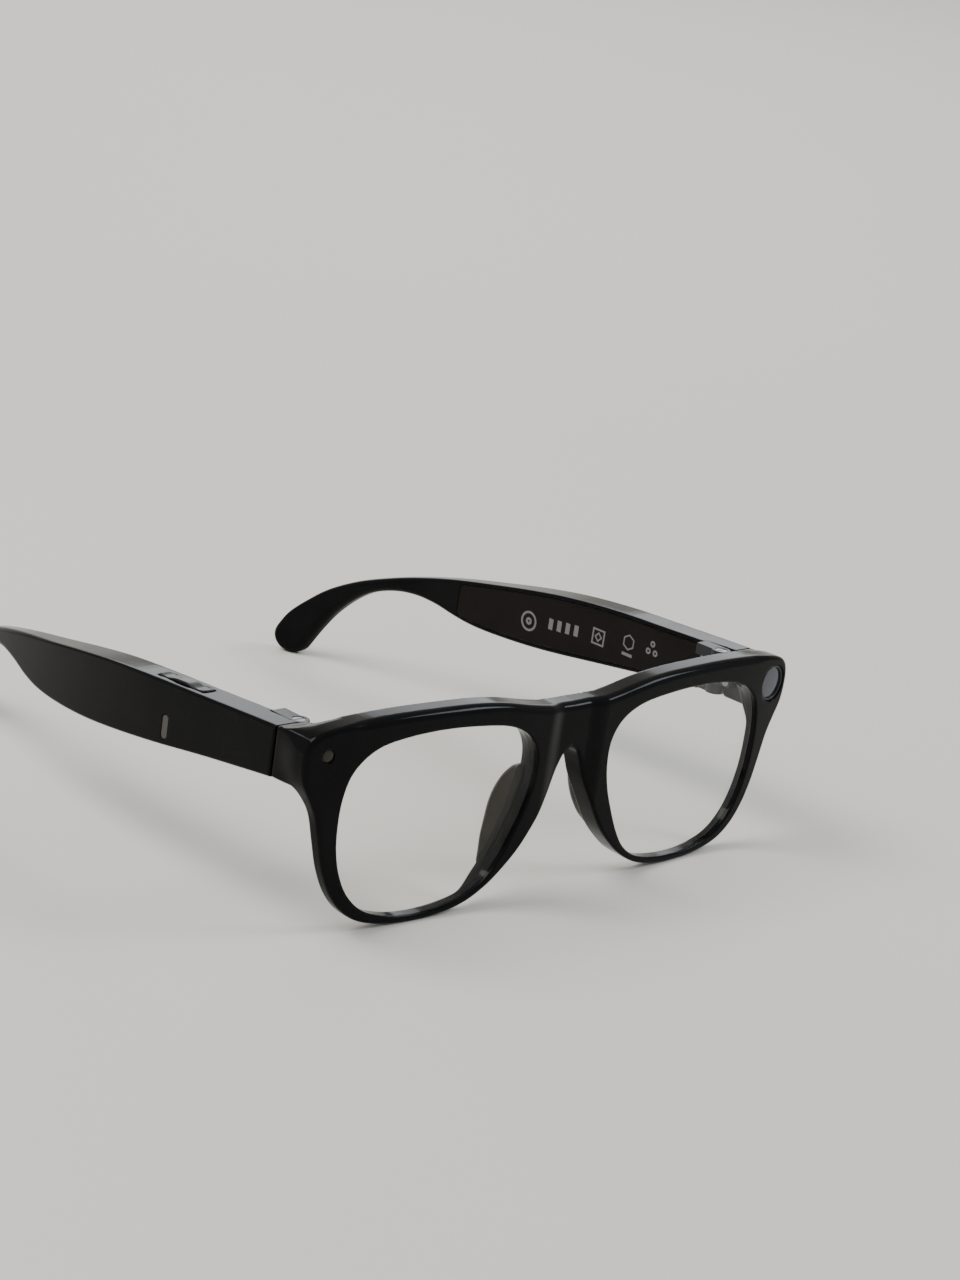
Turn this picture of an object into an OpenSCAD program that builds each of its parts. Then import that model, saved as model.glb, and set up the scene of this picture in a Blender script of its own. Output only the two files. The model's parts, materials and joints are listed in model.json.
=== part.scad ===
// Smart glasses: a full-rim front with a camera, and two electronic temples that fold.
// X runs to the wearer's left, Y from the front towards the ears and Z up.
// Z = 0 is the plane that the rims and the temple tips stand on.

/* [Front] */
// Half the width of the front over the end pieces
front_half_w = 69; // [68.5:0.1:69.5]
// Depth of the front from its outer to its rear surface
front_depth = 5.4; // [5.3:0.1:5.6]
// Depth of the lower rims, which are shallower than the brow
rim_depth = 2.9; // [2.8:0.1:3.2]
// How far the bridge is set back behind the outer surface
bridge_set = 1; // [0.9:0.1:1.1]
// Height of the lens centres above the rim bottoms
lens_centre_z = 20.1; // [20.1:0.1:20.5]
// Depth of the lens groove behind the outer surface
groove_y = 0.7; // [0.6:0.05:0.8]
// Lens thickness
lens_t = 1.3; // [1.2:0.05:1.4]
// How far the lens edge goes into its groove
lens_bite = 0.5; // [0.4:0.05:0.6]

/* [Camera and indicator] */
// Distance of the camera from the middle plane
camera_x = 63.6; // [63.4:0.1:63.8]
// Distance of the indicator from the middle plane
indicator_x = 64; // [63.8:0.1:64.4]
// Radius of the camera window
window_r = 3.5; // [3.4:0.05:3.6]
// Radius of the indicator window
indicator_r = 1.3; // [1.2:0.1:1.5]

/* [Temples] */
// Temple thickness at the hinge
temple_t = 7; // [6.9:0.1:7.1]
// Temple thickness at the ear hook
hook_t = 4.5; // [4.3:0.1:4.7]
// Wall thickness of the temple shell
wall = 1.2; // [1.1:0.1:1.3]

/* [Hinges] */
// Distance of each hinge axis from the middle plane
hinge_x = 60.6; // [60.5:0.05:60.7]
// Distance of the hinge axes behind the front
hinge_y = 16.4; // [16.3:0.05:16.5]
// Radius of the hinge knuckles
knuckle_r = 2.1; // [2:0.05:2.15]
// Radius of the hinge screw
pin_r = 0.7; // [0.65:0.05:0.7]

/* [Controls] */
// Travel of the capture button
button_travel = 0.4; // [0.3:0.05:0.45]
// Travel of the power slider
slider_travel = 2; // [1.5:0.1:2]

/* [Hidden] */

$fn = 48;
eps = 0.01;
clear = 0.2;
slip = 0.05;
tall = 60;

// Places along the temple, measured from the outermost point of the front
butt_y = 14.2;
tip_y = 145.9;
tip_r = 4.2;
bay_start = 22.6;
bay_end = 97;
// The middle of the whole object's depth, which becomes Y = 0
mid_y = tip_y / 2;

// Bow of the front surface: a gentle curve, tighter over the end pieces, set back at the bridge
bow = 0.00072;
end_bow = 0.0015;
end_bow_x = 50;
bridge_x = 3.5;
bridge_ramp = 5;
function ease(t) = let (s = min(max(t, 0), 1)) s * s * (3 - 2 * s);
function surface_y(x) = bow * x * x + end_bow * pow(max(abs(x) - end_bow_x, 0), 2)
    + bridge_set * (1 - ease((abs(x) - bridge_x) / bridge_ramp));
camera_turn = 8;

// Smooth curve through hand-placed points
function blend(a, b, c, d, t) =
    0.5 * (2 * b + (c - a) * t + (2 * a - 5 * b + 4 * c - d) * t * t
    + (3 * b - a - 3 * c + d) * t * t * t);
function open_curve(p, n) = concat(
    [for (i = [0:len(p) - 2], k = [0:n - 1])
        blend(p[max(i - 1, 0)], p[i], p[i + 1], p[min(i + 2, len(p) - 1)], k / n)],
    [p[len(p) - 1]]);
function closed_curve(p, n) =
    [for (i = [0:len(p) - 1], k = [0:n - 1])
        blend(p[(i + len(p) - 1) % len(p)], p[i], p[(i + 1) % len(p)],
            p[(i + 2) % len(p)], k / n)];
function reverse(p) = [for (i = [len(p) - 1:-1:0]) p[i]];
function unit(v) = v / norm(v);
// Moves a closed outline, drawn anticlockwise, outwards by d
function grow(p, d) =
    [for (i = [0:len(p) - 1])
        let (t = unit(p[(i + 1) % len(p)] - p[(i + len(p) - 1) % len(p)]))
        p[i] + d * [t.y, -t.x]];

// Lens opening on the wearer's left, about the lens centre height
opening = closed_curve([
    [59.6, 2], [59.3, 8], [57.4, 13.3], [52.5, 17.2], [45, 18.8], [36, 19.3], [27, 18.9],
    [19, 17.8], [13.6, 15.3], [10.9, 11.3], [10.6, 6.2], [11.9, 0.5], [14.3, -5], [16.9, -9.9],
    [19.9, -13.8], [24.3, -16.6], [30, -18], [38, -18.6], [45, -17.9], [50.8, -16],
    [55, -12.5], [57.6, -8.1], [59.1, -3.1]], 3);

// Left half of the front's outer outline, from the top of the bridge round to its arch
half_outline = open_curve([
    [0, 20.2], [6, 20.4], [12, 21.2], [20, 22.6], [28, 23.3], [38, 23.5], [48, 23.4],
    [58, 22.8], [64, 21.9], [67.4, 20.5], [68.8, 18], [front_half_w, 14.6], [68.3, 11.2],
    [66.5, 7.8], [64.8, 4.2], [63.4, -1], [61.8, -6.5], [59.5, -11.4], [56.3, -15.3],
    [51.8, -18.1], [45.6, -19.6], [38, -lens_centre_z], [31, -19.7], [25, -18.4],
    [19.8, -15.8], [15.6, -12.5], [12, -8.9], [9.1, -4.8], [6.8, -0.8], [4.9, 3], [3.4, 6.8],
    [2, 9.4], [0, 10.6]], 2);
front_outline = concat(half_outline,
    [for (i = [len(half_outline) - 2:-1:1]) [-half_outline[i].x, half_outline[i].y]]);

// Upper and lower edges of the temple, seen from its side
temple_top = [
    [butt_y, 19.9], [22, 19.5], [36, 18.7], [50, 17.9], [64, 16.6], [76, 14.8], [88, 12.6],
    [100, 10.3], [110, 7.9], [118, 5.5], [126, 2.5], [133.4, -1.5], [139, -6],
    [143, -10], [145.34, -13.8]];
temple_low = [
    [butt_y, 9.6], [22, 8.6], [34, 7], [48, 4.9], [64, 2.7], [74, 1.6], [84, 1], [92, 1],
    [98, 1.7], [104, 2.9], [110, 3.4], [116, 2.7], [122, 0.6], [127, -2.9], [131.5, -7.6],
    [135, -12.7], [138.06, -18]];
// Round end of the ear hook
tip_arc = [for (a = [-135:15:15])
    [tip_y - tip_r + tip_r * cos(a), tip_r - lens_centre_z + tip_r * sin(a)]];
temple_side = concat(open_curve(temple_low, 2), tip_arc, reverse(open_curve(temple_top, 2)));

// Outer face of the left temple in plan, and its thickness
function outer_x(y) = 68.02 + 0.03 * (y - 7) - 0.00206 * pow(max(y - 42.4, 0), 2);
function thick(y) = temple_t - (temple_t - hook_t) * ease((y - 60) / 50);
function inner_x(y) = outer_x(y) - thick(y);
function lean(y) = 0.03 - 0.00412 * max(y - 42.4, 0);

// Heights of the hinge knuckles about the lens centre height
hinge_low = 9.9;
hinge_high = 19.6;
mid_low = 12.6;
mid_high = 16.9;

module placed() translate([0, -mid_y, lens_centre_z]) children();
module right_side() mirror([1, 0, 0]) children();

// An outline in X and Z, swept from y0 to y1
module along_y(y0, y1)
    translate([0, y1, 0]) rotate([90, 0, 0]) linear_extrude(y1 - y0) children();

// An outline in Y and Z, swept from x0 to x1
module along_x(x0, x1)
    translate([x0, 0, 0]) rotate([90, 0, 90]) linear_extrude(x1 - x0) children();

// The layer of the front between two depths behind its outer surface
module front_layer(a, b) {
    half = [0, 3.5, 4.5, 5.3, 6, 6.7, 7.5, 8.5, 20, 36, 50, 56, 60, 63, 66, 69, 72];
    xs = concat([for (x = reverse(half)) -x], [for (x = half) if (x > 0) x]);
    translate([0, 0, -tall / 2])
        linear_extrude(tall)
            polygon(concat([for (x = xs) [x, surface_y(x) + a]],
                [for (x = reverse(xs)) [x, surface_y(x) + b]]));
}

// The layer of the left temple between a and b inside its outer face; b = 0 is the inner face
module temple_layer(y0, y1, a, b) {
    count = 20;
    ys = [for (i = [0:count]) y0 + (y1 - y0) * i / count];
    translate([0, 0, -tall / 2])
        linear_extrude(tall)
            polygon(concat([for (y = ys) [outer_x(y) - a, y]],
                [for (y = reverse(ys)) [inner_x(y) + b, y]]));
}

// Part of the temple's side outline between two places, moved in by d
module bay_side(y0, y1, d) {
    top = [for (p = open_curve(temple_top, 2)) if (p.x > y0 && p.x < y1) p - [0, d]];
    low = [for (p = open_curve(temple_low, 2)) if (p.x > y0 && p.x < y1) p + [0, d]];
    first_top = lookup(y0, open_curve(temple_top, 2)) - d;
    last_top = lookup(y1, open_curve(temple_top, 2)) - d;
    first_low = lookup(y0, open_curve(temple_low, 2)) + d;
    last_low = lookup(y1, open_curve(temple_low, 2)) + d;
    polygon(concat([[y0, first_low]], low, [[y1, last_low], [y1, last_top]], reverse(top),
        [[y0, first_top]]));
}

// Puts its children in the middle of the left temple's wall at y, turned along it
module in_temple(y, z, tilt = 0)
    translate([(outer_x(y) + inner_x(y)) / 2 + 0.05, y, z])
        rotate([0, 0, -atan(lean(y))])
            rotate([tilt, 0, 0]) children();

module block(size) translate(-size / 2) cube(size);

// The camera and indicator look along this axis; Z runs out of the front
module looking_out(x, z)
    translate([x, surface_y(x), z])
        rotate([0, 0, sign(x) * camera_turn])
            rotate([90, 0, 0]) children();

module hinge_axis() translate([hinge_x, hinge_y, 0]) children();

// ---- Front ----

camera_z = 15.9;
indicator_z = 17;
camera_pocket_r = 3.3;
contact_z = 14.6;
contact_h = 2.8;
contact_half = 4;
contact_y = 3.6 + bridge_set;
contact_rear = front_depth + bridge_set;
contact_pad = 1.6;
ring_r = 4;

// Block behind each end piece that carries the hinge and faces the temple
module end_piece() {
    intersection() {
        along_y(4, butt_y - clear)
            polygon([[60.5, 9.8], [67.3, 9.8], [68.3, 11.8], [68.3, 18.4], [67, 20.5],
                [60.5, 20.8]]);
        translate([0, 0, -tall / 2])
            linear_extrude(tall)
                polygon([[60.5, 5], [67, surface_y(67) + 0.5], [68.9, surface_y(68.9) + 1.4],
                    [outer_x(butt_y), butt_y], [60.5, butt_y]]);
    }
}

module camera_cuts() {
    looking_out(camera_x, camera_z) {
        translate([0, 0, -1.6]) cylinder(r = ring_r + slip, h = 5);
        translate([0, 0, -4.7]) cylinder(r = camera_pocket_r, h = 5);
    }
}

module indicator_cuts() {
    looking_out(-indicator_x, indicator_z) {
        translate([0, 0, -1.5]) cylinder(r = indicator_r + slip, h = 5);
        translate([0, 0, -4.4]) cylinder(r = 1.9, h = 3);
    }
}

module front_frame() placed() color("#0b0b0d") difference() {
    union() {
        intersection() {
            along_y(-1, 20) polygon(front_outline);
            front_layer(0, front_depth);
        }
        end_piece();
        right_side() end_piece();
    }
    for (side = [0, 1]) mirror([side, 0, 0]) {
        // The lower rims end before the full depth
        intersection() {
            along_y(-1, 20) polygon([[24, -30], [24, -14], [30, -8], [50, 6], [80, 7], [80, -30]]);
            front_layer(rim_depth, front_depth + 3);
        }
        along_y(-2, 20) polygon(opening);
        intersection() {
            along_y(-2, 20) polygon(grow(opening, lens_bite + slip));
            front_layer(groove_y - slip, groove_y + lens_t + slip);
        }
    }
    camera_cuts();
    indicator_cuts();
    // Channel for the flex cable, with a step for its cover
    intersection() {
        along_y(0, 20) brow_strip(0.9, 54);
        front_layer(front_depth - 1.7, front_depth + 1);
    }
    intersection() {
        along_y(0, 20) brow_strip(1.1 + slip, 56 + slip);
        front_layer(front_depth - 0.9, front_depth + 1);
    }
    // Seat of the charge contact block, behind the bridge
    translate([-contact_half - slip, contact_y, contact_z - slip])
        cube([2 * contact_half + 2 * slip, 4, contact_h + 2 * slip]);
    translate([-1.6, contact_y - 1.6, contact_z + 0.3]) cube([3.2, 2, 2.2]);
    for (side = [0, 1]) mirror([side, 0, 0]) leaf_screw_holes();
}

// Narrow strip that follows the brow between the lens tops and the top edge
module brow_strip(half_h, half_w) {
    line = open_curve([[-56, 19.9], [-48, 20.9], [-36, 21.2], [-24, 20.8], [-12, 19.1], [0, 18.9],
        [12, 19.1], [24, 20.8], [36, 21.2], [48, 20.9], [56, 19.9]], 2);
    kept = [for (p = line) if (abs(p.x) <= half_w + eps) p];
    polygon(concat([for (p = kept) p - [0, half_h]], [for (p = reverse(kept)) p + [0, half_h]]));
}

module brow_cover() placed() color("#101012") intersection() {
    along_y(0, 20) brow_strip(1.1, 56);
    front_layer(front_depth - 0.85, front_depth);
}

module front_flex_cable() placed() color("#b5651d") intersection() {
    along_y(0, 20) brow_strip(0.75, 54);
    front_layer(front_depth - 1.5, front_depth - 1.3);
}

module lens() intersection() {
    along_y(-2, 20) polygon(grow(opening, lens_bite));
    front_layer(groove_y, groove_y + lens_t);
}
module lens_left() placed() color("#dfe8ec", 0.3) lens();
module lens_right() placed() color("#dfe8ec", 0.3) right_side() lens();

module nose_pad() {
    rear = front_depth + 0.4;
    intersection() {
        hull() {
            translate([9.2, rear, 4.8]) sphere(r = 1.9, $fn = 32);
            translate([10.5, rear, 0]) sphere(r = 2.6, $fn = 32);
            translate([10.6, rear + 2.2, 2]) sphere(r = 1.9, $fn = 32);
            translate([12.5, rear + 2, -5]) sphere(r = 2.1, $fn = 32);
            translate([16.2, rear, -11]) sphere(r = 2, $fn = 32);
        }
        translate([0, rear, -tall / 2]) cube([40, 20, tall]);
    }
}
module nose_pad_left() placed() color("#0d0d0f") nose_pad();
module nose_pad_right() placed() color("#0d0d0f") right_side() nose_pad();

module camera_ring() placed() color("#16181c") looking_out(camera_x, camera_z) difference() {
    translate([0, 0, -1.6]) cylinder(r = ring_r, h = 1.3);
    translate([0, 0, -2]) cylinder(r = window_r + slip, h = 3);
}
module camera_window() placed() color("#1c2430") looking_out(camera_x, camera_z)
    translate([0, 0, -1.4]) cylinder(r = window_r, h = 0.9);
module camera_housing() placed() color("#232326") looking_out(camera_x, camera_z) difference() {
    translate([0, 0, -3.9]) cylinder(r = camera_pocket_r - 0.1, h = 2.1);
    translate([0, 0, -3.4]) cylinder(r = 2.1, h = 3);
}
module camera_lens_barrel() placed() color("#0a0a12") looking_out(camera_x, camera_z) {
    translate([0, 0, -3.35]) cylinder(r = 2, h = 1.2);
    translate([0, 0, -2.15]) cylinder(r = 1.5, h = 0.4);
}
module camera_sensor_board() placed() color("#1f6b3a") looking_out(camera_x, camera_z)
    translate([0, 0, -4.5]) cylinder(r = 2.9, h = 0.5);

module indicator_window() placed() color("#c9ced4") looking_out(-indicator_x, indicator_z)
    translate([0, 0, -1.5]) cylinder(r = indicator_r, h = 1.3);
module indicator_led() placed() color("#fff6d8") looking_out(-indicator_x, indicator_z)
    translate([0, 0, -2.55]) block([1.6, 1.6, 0.8]);
module indicator_board() placed() color("#1f6b3a") looking_out(-indicator_x, indicator_z)
    translate([0, 0, -3.8]) cylinder(r = 1.7, h = 0.8);

module bridge_microphone() placed() color("#c8a24a")
    translate([-1.3, contact_y - 1.3, contact_z + 0.6]) cube([2.6, 1.1, 1.4]);

module charge_contact_block() placed() color("#141416") difference() {
    translate([-contact_half, contact_y, contact_z])
        cube([2 * contact_half, contact_rear + 0.5 - contact_y, contact_h]);
    for (x = [-2.4, 0, 2.4])
        translate([x - contact_pad / 2 - slip, contact_rear, contact_z + 0.6 - slip])
            cube([contact_pad + 2 * slip, 2, contact_pad + 2 * slip]);
}
module charge_contact_pads() placed() color("#d9a93f")
    for (x = [-2.4, 0, 2.4])
        translate([x - contact_pad / 2, contact_rear + 0.05, contact_z + 0.6])
            cube([contact_pad, 0.45, contact_pad]);

// ---- Hinges ----

leaf_screw_z = [13.6, 15.9];
leaf_screw_y = 12.4;
leaf_x = 58.7;
screw_r = 0.5;
screw_head_r = 0.85;

// Screws run outwards from the inner face of each end piece
module leaf_screw_holes()
    for (z = leaf_screw_z)
        translate([leaf_x, leaf_screw_y, z]) rotate([0, 90, 0]) cylinder(r = screw_r + slip, h = 5.6);

module front_hinge_leaf() difference() {
    union() {
        hinge_axis() translate([0, 0, mid_low]) cylinder(r = knuckle_r, h = mid_high - mid_low);
        translate([leaf_x, 11, mid_low]) cube([60.4 - leaf_x, hinge_y - 11, mid_high - mid_low]);
        translate([60.3, butt_y, mid_low]) cube([0.7, hinge_y - butt_y, mid_high - mid_low]);
    }
    hinge_axis() translate([0, 0, mid_low - 1]) cylinder(r = pin_r + slip, h = 8);
    leaf_screw_holes();
    for (z = leaf_screw_z)
        translate([leaf_x - eps, leaf_screw_y, z]) rotate([0, 90, 0])
            cylinder(r = screw_head_r + slip, h = 0.6);
}
module front_hinge_leaf_left() placed() color("#8d9094") front_hinge_leaf();
module front_hinge_leaf_right() placed() color("#8d9094") right_side() front_hinge_leaf();

module front_leaf_screws() placed() color("#6f7276") for (side = [0, 1]) mirror([side, 0, 0])
    for (z = leaf_screw_z) translate([leaf_x + 0.05, leaf_screw_y, z]) rotate([0, 90, 0]) {
        cylinder(r = screw_head_r, h = 0.5);
        cylinder(r = screw_r, h = 5);
    }

plate_y0 = 19.3;
plate_y1 = 22.3;
plate_x0 = 60.9;
plate_x1 = 62.7;

module temple_hinge_leaf() difference() {
    union() {
        for (z = [[hinge_low, mid_low - clear], [mid_high + clear, hinge_high]]) {
            hinge_axis() translate([0, 0, z[0]]) cylinder(r = knuckle_r, h = z[1] - z[0]);
            translate([hinge_x - knuckle_r + 0.6, hinge_y, z[0]])
                cube([plate_x1 - hinge_x + knuckle_r - 0.6, plate_y1 - hinge_y, z[1] - z[0]]);
        }
        translate([plate_x0, plate_y0, hinge_low])
            cube([plate_x1 - plate_x0, plate_y1 - plate_y0, hinge_high - hinge_low]);
    }
    hinge_axis() translate([0, 0, hinge_low - 1]) cylinder(r = pin_r + 0.02, h = 14);
    hinge_axis() translate([0, 0, hinge_high - 0.8]) cylinder(r = 1.3, h = 2);
    temple_screw_holes();
}
module temple_hinge_leaf_left() placed() color("#8d9094") temple_hinge_leaf();
module temple_hinge_leaf_right() placed() color("#8d9094") right_side() temple_hinge_leaf();

module hinge_screw() hinge_axis() difference() {
    union() {
        translate([0, 0, hinge_low]) cylinder(r = pin_r, h = hinge_high - 0.75 - hinge_low);
        translate([0, 0, hinge_high - 0.75]) cylinder(r = 1.25, h = 0.65);
    }
    translate([-2, -0.15, hinge_high - 0.4]) cube([4, 0.3, 1]);
}
module hinge_screw_left() placed() color("#5d6064") hinge_screw();
module hinge_screw_right() placed() color("#5d6064") right_side() hinge_screw();

temple_screw_z = [13.4, 16.1];
temple_screw_y = 20.9;
module temple_screw_holes()
    for (z = temple_screw_z)
        translate([plate_x0 - 1, temple_screw_y, z]) rotate([0, 90, 0])
            cylinder(r = screw_r + slip, h = 5.2);
module temple_leaf_screws()
    for (z = temple_screw_z)
        translate([plate_x0 - 0.5, temple_screw_y, z]) rotate([0, 90, 0]) {
            cylinder(r = screw_head_r, h = 0.5);
            cylinder(r = screw_r, h = 4.5);
        }
module temple_leaf_screws_left() placed() color("#6f7276") temple_leaf_screws();
module temple_leaf_screws_right() placed() color("#6f7276") right_side() temple_leaf_screws();

// ---- Temples ----

cover_t = 1.1;
cover_inset = 0.9;
bay_wall = 1.6;
grille_y = 80;
grille_len = 12;
grille_w = 2.2;

module temple_outer() intersection() {
    along_x(40, 80) polygon(temple_side);
    temple_layer(butt_y, tip_y + 0.5, 0, 0);
}

module temple_shell() difference() {
    temple_outer();
    // Electronics bay, open towards the head
    intersection() {
        along_x(40, 80) bay_side(bay_start + 1, bay_end - 1, bay_wall);
        temple_layer(bay_start, bay_end, wall, -1);
    }
    intersection() {
        along_x(40, 80) bay_side(bay_start - slip, bay_end + slip, cover_inset - slip);
        inner_layer(2, cover_t + slip);
    }
    hinge_recess();
    temple_screw_holes();
    // Speaker opening in the lower edge
    in_temple(grille_y, 0.6) block([grille_w + 2 * slip, grille_len + 2 * slip, 2.6]);
    in_temple(grille_y, 2.2) block([1.4, 10, 2.4]);
}

// The layer along the temple's inner face, from a on its head side to b inside it
module inner_layer(a, b) {
    count = 20;
    ys = [for (i = [0:count]) bay_start - 1 + (bay_end - bay_start + 2) * i / count];
    translate([0, 0, -tall / 2])
        linear_extrude(tall)
            polygon(concat([for (y = ys) [inner_x(y) + b, y]],
                [for (y = reverse(ys)) [inner_x(y) - a, y]]));
}

module hinge_recess() {
    hinge_axis() translate([0, 0, -tall / 2]) cylinder(r = knuckle_r + clear, h = tall);
    translate([55, hinge_y, -tall / 2])
        cube([plate_x1 + slip - 55, plate_y1 + slip - hinge_y, tall]);
}

module temple_cover() intersection() {
    along_x(40, 80) bay_side(bay_start, bay_end, cover_inset);
    inner_layer(0, cover_t);
}

badge_y = 45;
badge_z = 9.2;
badge_r = 0.8;
badge_half = 1.6;

// Flat upright pill with round ends
module pill(r, h) rotate([0, 90, 0]) {
    translate([-badge_half, 0, 0]) cylinder(r = r, h = h);
    translate([badge_half, 0, 0]) cylinder(r = r, h = h);
    translate([-badge_half, -r, 0]) cube([2 * badge_half, 2 * r, h]);
}
module badge() in_temple(badge_y, badge_z) translate([temple_t / 2 - 0.3, 0, 0]) pill(badge_r, 0.25);
module badge_pocket() in_temple(badge_y, badge_z)
    translate([temple_t / 2 - 0.35, 0, 0]) pill(badge_r + slip, 1);
module badge_left() placed() color("#9fa3a8") badge();
module badge_right() placed() color("#9fa3a8") right_side() badge();

button_y = 44;
button_len = 14;
button_w = 3;
button_z = 18.2;
button_tilt = -3.2;

// Capture button seat in the top of the right temple
module button_cuts() in_temple(button_y, button_z, button_tilt) {
    seat = 0.5 + button_travel;
    translate([0, 0, (1.5 - seat) / 2]) block([button_w + 0.4, button_len + 0.4, 1.5 + seat]);
    translate([0, 0, -1]) block([2, 5.6, 4]);
}

module capture_button() placed() color("#131316") right_side()
    in_temple(button_y, button_z, button_tilt) {
        translate([0, 0, 0.1]) block([button_w, button_len, 1]);
        translate([0, 0, 0.65]) block([button_w - 0.2, 5, 0.3]);
        translate([0, 0, -1]) block([1.5, 4.8, 1.4]);
    }

module capture_switch() placed() color("#b9bcc0") right_side()
    in_temple(button_y, button_z, button_tilt) translate([0, 0, -2.9]) block([2.4, 4.4, 1]);

slider_y = 33;
slider_z = 7.1;
slider_tilt = -8;

// Power slider seat in the lower edge of the left temple
module slider_cuts() in_temple(slider_y, slider_z, slider_tilt) {
    translate([0, 0, -0.7]) block([2.4, 7.2, 2]);
    translate([0, 0, 1]) block([1.4, 4.6, 3]);
}

module power_slider() placed() color("#17171a") in_temple(slider_y, slider_z, slider_tilt) {
    translate([0, -slider_travel / 2, -0.15]) block([2, 4.8, 0.7]);
    for (y = [-1.2, 0, 1.2]) translate([0, y - slider_travel / 2, -0.55]) block([1.8, 0.4, 0.3]);
    translate([0, -slider_travel / 2, 0.9]) block([1, 1.6, 1.4]);
}

module power_switch() placed() color("#b9bcc0")
    in_temple(slider_y, slider_z, slider_tilt) translate([0, 0, 2.5]) block([2.6, 5, 1.2]);

module temple_shell_left() placed() color("#0b0b0d") difference() {
    temple_shell();
    badge_pocket();
    slider_cuts();
}
module temple_shell_right() placed() color("#0b0b0d") right_side() difference() {
    temple_shell();
    badge_pocket();
    button_cuts();
}
module temple_cover_left() placed() color("#101012") temple_cover();
module temple_cover_right() placed() color("#101012") right_side() temple_cover();

// ---- Electronics in the temples ----

bay_tilt = -6;
board_y = 46;
board_z = 10.8;

module main_board() placed() color("#1f6b3a") right_side() in_temple(board_y, board_z, bay_tilt)
    block([0.8, 34, 6.4]);
module processor_chips() placed() color("#26262a") right_side() in_temple(board_y, board_z, bay_tilt)
    for (c = [[-10, 5, 5], [-2, 6, 5.4], [7, 5, 4]])
        translate([0.9, c[0], 0]) block([0.8, c[1], c[2]]);
module rf_shield() placed() color("#a8abb0") right_side() in_temple(board_y, board_z, bay_tilt)
    translate([-0.9, 2, 0]) block([0.8, 24, 5.6]);
module touch_pad() placed() color("#b5651d") right_side() in_temple(60, 9.9, bay_tilt)
    translate([1.75, 0, 0]) block([0.2, 20, 6]);

module battery() placed() color("#9aa0a6") in_temple(54, 10, bay_tilt) block([2.8, 30, 6.8]);
module battery_board() placed() color("#1f6b3a") in_temple(28, 14.6, -2) block([0.8, 7, 4.4]);

module speaker() in_temple(grille_y, 7) {
    block([2.6, 14, 5]);
    translate([0, 0, -3]) block([1.8, 9, 1.2]);
}
module speaker_left() placed() color("#2a2a2e") speaker();
module speaker_right() placed() color("#2a2a2e") right_side() speaker();

module speaker_grille() difference() {
    in_temple(grille_y, 0) translate([0, 0, 1.65]) block([grille_w, grille_len, 0.4]);
    for (i = [-2:2])
        in_temple(grille_y, 0) translate([0, i * 2.1, 1.65]) block([1.2, 0.9, 2]);
}
module speaker_grille_left() placed() color("#3a3c40") speaker_grille();
module speaker_grille_right() placed() color("#3a3c40") right_side() speaker_grille();

module antenna() in_temple(91, 6.6) block([0.6, 5, 5]);
module antenna_left() placed() color("#c8a24a") antenna();
module antenna_right() placed() color("#c8a24a") right_side() antenna();

module microphone() in_temple(71.2, 5.4) block([1.4, 2.6, 1.8]);
module microphone_left() placed() color("#c8a24a") microphone();
module microphone_right() placed() color("#c8a24a") right_side() microphone();

front_frame();
brow_cover();
lens_right();
lens_left();
nose_pad_right();
nose_pad_left();
camera_ring();
camera_window();
camera_housing();
camera_lens_barrel();
camera_sensor_board();
indicator_window();
indicator_led();
indicator_board();
front_flex_cable();
bridge_microphone();
charge_contact_block();
charge_contact_pads();
front_hinge_leaf_right();
front_hinge_leaf_left();
front_leaf_screws();
temple_shell_right();
temple_cover_right();
temple_hinge_leaf_right();
hinge_screw_right();
temple_leaf_screws_right();
main_board();
processor_chips();
rf_shield();
capture_switch();
touch_pad();
speaker_right();
speaker_grille_right();
antenna_right();
microphone_right();
badge_right();
capture_button();
temple_shell_left();
temple_cover_left();
temple_hinge_leaf_left();
hinge_screw_left();
temple_leaf_screws_left();
battery();
battery_board();
power_switch();
speaker_left();
speaker_grille_left();
antenna_left();
microphone_left();
badge_left();
power_slider();
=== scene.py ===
import json
import math
import bpy
import numpy as np
from mathutils import Matrix, Vector


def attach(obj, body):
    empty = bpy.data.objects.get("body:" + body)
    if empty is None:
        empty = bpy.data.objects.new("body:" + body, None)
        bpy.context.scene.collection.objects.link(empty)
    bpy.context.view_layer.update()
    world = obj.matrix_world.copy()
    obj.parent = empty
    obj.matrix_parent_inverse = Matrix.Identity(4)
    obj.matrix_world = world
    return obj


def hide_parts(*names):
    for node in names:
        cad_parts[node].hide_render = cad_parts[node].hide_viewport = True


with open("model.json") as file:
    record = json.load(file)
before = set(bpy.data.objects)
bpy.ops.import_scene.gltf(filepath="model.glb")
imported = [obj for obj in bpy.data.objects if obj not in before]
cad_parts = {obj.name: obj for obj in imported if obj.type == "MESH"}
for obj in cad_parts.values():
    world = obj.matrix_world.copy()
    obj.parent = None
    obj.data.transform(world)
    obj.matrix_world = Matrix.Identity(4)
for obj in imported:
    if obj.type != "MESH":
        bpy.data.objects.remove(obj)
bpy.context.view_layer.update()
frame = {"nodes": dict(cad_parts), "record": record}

# Places are worked out in millimetres from the outermost point of the front, at the height of
# the lens centres: X to the wearer's left, Y back towards the ears, Z up. row() turns them into
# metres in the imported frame.
MM = 0.001
TIP_Y = 145.9
MID_Y = TIP_Y / 2
LENS_Z = 20.1
SHIFT = np.array([0, -MID_Y, LENS_Z])
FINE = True


def row(points):
    return (np.asarray(points, float) + SHIFT) * MM


# ---------------------------------------------------------------------------------------------
# Curves and the shape of the glasses, as in the CAD model

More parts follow.
